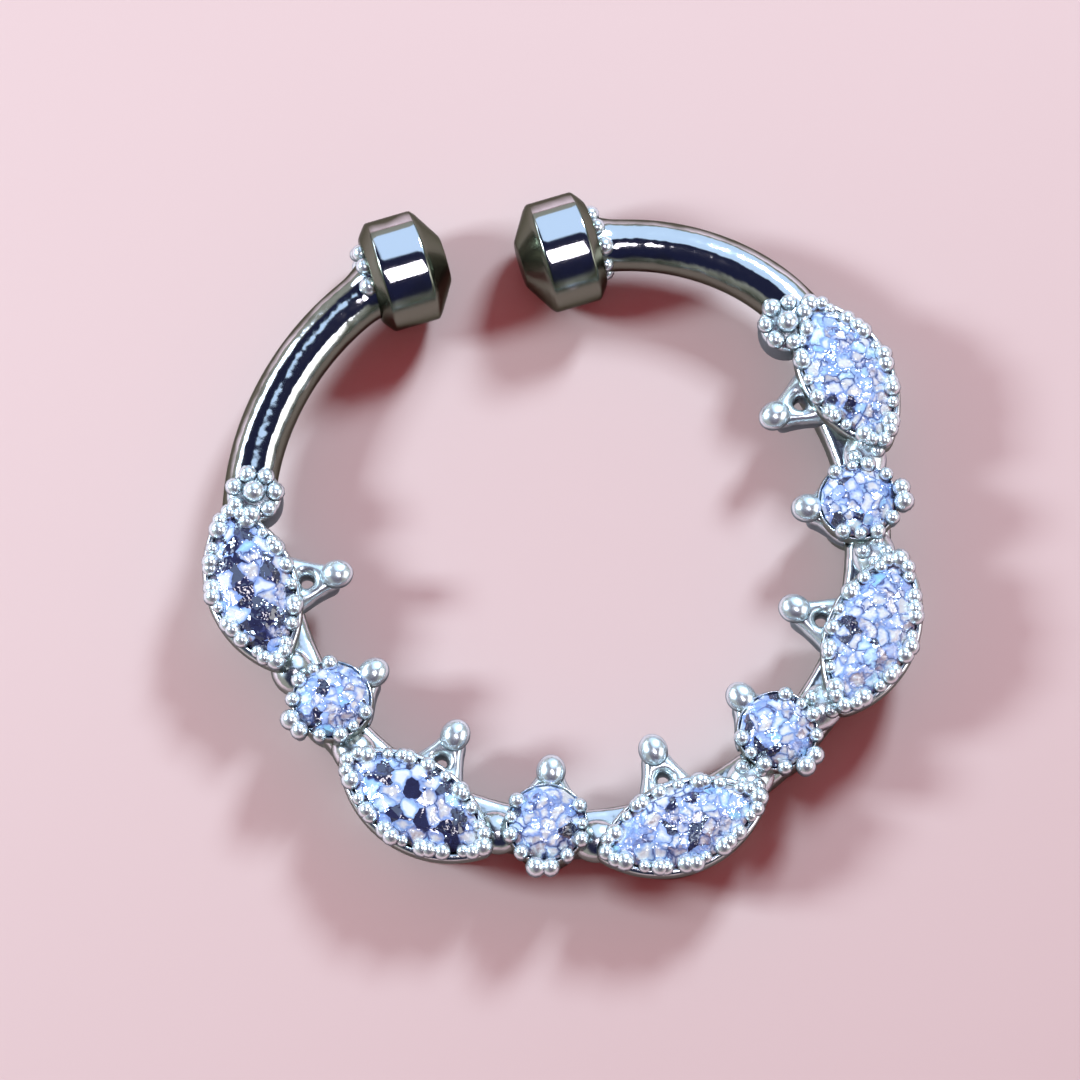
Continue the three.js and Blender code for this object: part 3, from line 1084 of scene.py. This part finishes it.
def table_top():
    """Smooth pale paper."""
    material, shader = new_material("pale paper")
    tree = material.node_tree
    where = tree.nodes.new("ShaderNodeTexCoord")
    cloud = node(tree, "TexNoise", Vector=where.outputs["Object"], Scale=60.0, Detail=2.0)
    tint = blend_colors(tree, cloud.outputs["Fac"], *PAPER_COLORS)
    tree.links.new(tint, shader.inputs["Base Color"])
    shader.inputs["Roughness"].default_value = 0.7
    return material


# ---------- the ring ----------

# these two stones get painted shade: more facets painted dark, and larger facets
STONES_WITH_PAINTED_SHADE = ("marquise_stone_4", "marquise_stone_5")
CELLS = {"bright": 4300, "with_painted_shade": 3300}  # facets each metre
PAINTED_DARK_SHARES = {"bright": 0.08, "with_painted_shade": 0.38}


def make_arms(wire, turned, beaded):
    for side in ("left", "right"):
        set_in_ring(wire_arm(side), f"arm_{side}", Matrix(), wire)
        set_in_ring(drum(side), f"drum_{side}", Matrix(), turned)
        set_in_ring(beaded_collar(side), f"collar_{side}", Matrix(), beaded)
        set_in_ring(shoulder(), f"shoulder_{side}", frame_at(*SHOULDERS[side]), beaded)


def make_settings(kind, cup, beads, turns, cast, beaded):
    """Every setting of one kind, each with its own copy of the cup and the beads."""
    first_cup, first_beads = cup(), beads()
    for i, turn in enumerate(turns):
        angle, radius = stone_place(f"{kind}_stone_{i + 1}")
        place = frame_at(angle, radius, turn)
        set_in_ring(copy_of(first_cup), f"{kind}_basket_{i + 1}", place, cast)
        set_in_ring(copy_of(first_beads), f"{kind}_beads_{i + 1}", place, beaded)
        tongue = claw(*CLAW_SIZES[kind], CLAW_RINGS[kind][i] - radius)
        set_in_ring(tongue, f"{kind}_claw_{i + 1}", frame_at(angle, radius), beaded)
    scrap(first_cup)
    scrap(first_beads)


def make_ring():
    painted_shade_and_ripples = plating_painted_shade_and_ripples()
    cast, beaded = cast_setting(painted_shade_and_ripples), melted_bead(painted_shade_and_ripples)
    make_arms(drawn_wire(painted_shade_and_ripples), turned_drum(painted_shade_and_ripples), beaded)
    set_in_ring(band(), "band", Matrix(), cast)
    make_links(beaded, cast)
    make_settings("marquise", marquise_cup, marquise_beads, MARQUISE_TURNS, cast, beaded)
    make_settings("round", round_cup, round_beads, ROUND_TURNS, cast, beaded)


def polish_stones():
    """Gives each packed stone its look; its shape stays."""
    facets = cut_facets()
    bright = zirconia("cubic zirconia", facets, CELLS["bright"], PAINTED_DARK_SHARES["bright"])
    stone_with_painted_shade = zirconia("cubic zirconia with painted shade", facets, CELLS["with_painted_shade"], PAINTED_DARK_SHARES["with_painted_shade"])
    for name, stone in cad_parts.items():
        if "stone" in name:
            finish = stone_with_painted_shade if name in STONES_WITH_PAINTED_SHADE else bright
            for slot in stone.material_slots:
                slot.material = finish


# ---------- table, light and camera ----------

VIEW_AZIMUTH = math.radians(-16.25)
VIEW_ELEVATION = math.radians(74.81)
VIEW_ROLL = math.radians(-0.75)
VIEW_DISTANCE = 105 * MM
VIEW_WIDTH = 20.377 * MM
AIM_LEFT = 0.509 * MM
AIM_DOWN = 0.085 * MM
AIM_HEIGHT = 1.08 * MM
SENSOR_WIDTH = 36
NEAREST, FURTHEST = 1 * MM, 2.0  # what the camera sees
TABLE_WIDTH = 1.2


def table(finish):
    bpy.ops.mesh.primitive_plane_add(size=TABLE_WIDTH)
    top = bpy.context.object
    top.name = "table"
    top.data.materials.append(finish)


def set_camera():
    """The camera, aimed a little beside the ring's middle and rolled."""
    back = Vector(
        (
            math.sin(VIEW_AZIMUTH) * math.cos(VIEW_ELEVATION),
            -math.cos(VIEW_AZIMUTH) * math.cos(VIEW_ELEVATION),
            math.sin(VIEW_ELEVATION),
        )
    )
    level = Vector((math.cos(VIEW_AZIMUTH), math.sin(VIEW_AZIMUTH), 0))
    rise = back.cross(level)
    right = level * math.cos(VIEW_ROLL) + rise * math.sin(VIEW_ROLL)
    up = back.cross(right)
    aim = Vector((0, 0, AIM_HEIGHT)) - right * AIM_LEFT - up * AIM_DOWN
    bpy.ops.object.camera_add(location=aim + back * VIEW_DISTANCE)
    camera = bpy.context.object
    camera.rotation_euler = Matrix((right, up, back)).transposed().to_euler()
    camera.data.sensor_width = SENSOR_WIDTH
    camera.data.lens = SENSOR_WIDTH * VIEW_DISTANCE / VIEW_WIDTH
    camera.data.clip_start = NEAREST
    camera.data.clip_end = FURTHEST
    bpy.context.scene.camera = camera


def toward(azimuth, elevation):
    """Unit vector to a place on the sky, its azimuth clockwise from the mouth's side."""
    a, e = math.radians(azimuth), math.radians(elevation)
    return Vector((math.sin(a) * math.cos(e), math.cos(a) * math.cos(e), math.sin(e)))


LAMP_DISTANCE = 0.1
KEY_WIDTH = 0.022


def softbox(name, azimuth, elevation, width, height, power, color):
    """Lamp that faces the ring."""
    back = toward(azimuth, elevation)
    bpy.ops.object.light_add(type="AREA", location=back * LAMP_DISTANCE)
    lamp = bpy.context.object
    lamp.name = name
    lamp.rotation_euler = back.to_track_quat("Z", "Y").to_euler()
    lamp.data.shape = "RECTANGLE"
    lamp.data.size = width
    lamp.data.size_y = height
    lamp.data.energy = power
    lamp.data.color = color
    return lamp


def soft_key(name, azimuth, elevation, power, color):
    """A small lamp, for shadows with an edge and for white glints."""
    softbox(name, azimuth, elevation, KEY_WIDTH, KEY_WIDTH, power, color)


def reflector(name, azimuth, elevation, width, height, power, color):
    """A white card that shows in the metal and the stones and lights nothing else."""
    card = softbox(name, azimuth, elevation, width, height, power, color)
    card.visible_diffuse = False


# Round patches of the sky: azimuth and elevation of the middle, then the cosines of the angles
# from it at which the patch begins and is full.
PANE = ((30, 42), 0.81, 0.835)
PANE_SIDE = ((87, 0), -0.02, 0.02)  # the window shows in this half of the sky alone
DARK_FRONT = ((190, 42), 0.78, 0.9)
CEILING_EDGE = (0.5, 0.68)  # sines of the elevations between which the walls turn into it
PANE_COLOR = (0.6, 0.8, 1.05)
CEILING_COLOR = (0.012, 0.014, 0.04)
WALL_COLOR = (0.27, 0.28, 0.24)
ROOM_GLOW = (0.43, 0.06, 0.08)  # what lights the shadows


def patch_of_sky(tree, direction, place, start, end):
    """How far the direction lies inside a round patch, from 0 outside to 1."""
    near = node(tree, "VectorMath", "DOT_PRODUCT", i0=direction, i1=toward(*place))
    edge = node(tree, "MapRange", Value=near.outputs["Value"], From_Min=start, From_Max=end)
    return edge.outputs["Result"]


def studio():
    """Soft room: a pale window behind, a dark ceiling that comes down in front, grey walls."""
    world = bpy.data.worlds.new("studio")
    bpy.context.scene.world = world
    world.use_nodes = True
    tree = world.node_tree
    where = tree.nodes.new("ShaderNodeTexCoord").outputs["Generated"]
    height = node(tree, "SeparateXYZ", i0=where)
    low, high = CEILING_EDGE
    above = node(tree, "MapRange", Value=height.outputs["Z"], From_Min=low, From_Max=high)
    dark, wall = (*CEILING_COLOR, 1), (*WALL_COLOR, 1)
    room = blend_colors(tree, above.outputs["Result"], wall, dark)
    room = blend_colors(tree, patch_of_sky(tree, where, *DARK_FRONT), room, dark)
    pane, side = (patch_of_sky(tree, where, *patch) for patch in (PANE, PANE_SIDE))
    window = node(tree, "Math", "MULTIPLY", i0=pane, i1=side)
    room = blend_colors(tree, window.outputs[0], room, (*PANE_COLOR, 1))
    ray = tree.nodes.new("ShaderNodeLightPath")
    room = blend_colors(tree, ray.outputs["Is Diffuse Ray"], room, (*ROOM_GLOW, 1))
    tree.links.new(room, tree.nodes["Background"].inputs["Color"])


make_ring()
polish_stones()
table(table_top())
reflector("left reflector", -40, 27, 0.06, 0.028, 0.016, (0.78, 0.92, 1.1))
reflector("right reflector", 115, 28, 0.075, 0.055, 0.026, (1.0, 0.99, 1.0))
reflector("overhead reflector", 165, 73, 0.018, 0.045, 0.02, (1.0, 0.93, 0.98))
soft_key("left key", -72, 36, 0.1, (0.8, 1.0, 1.12))
soft_key("right key", 46, 42, 0.09, (0.8, 1.0, 1.14))
studio()
set_camera()
bpy.context.scene.view_settings.view_transform = "Standard"
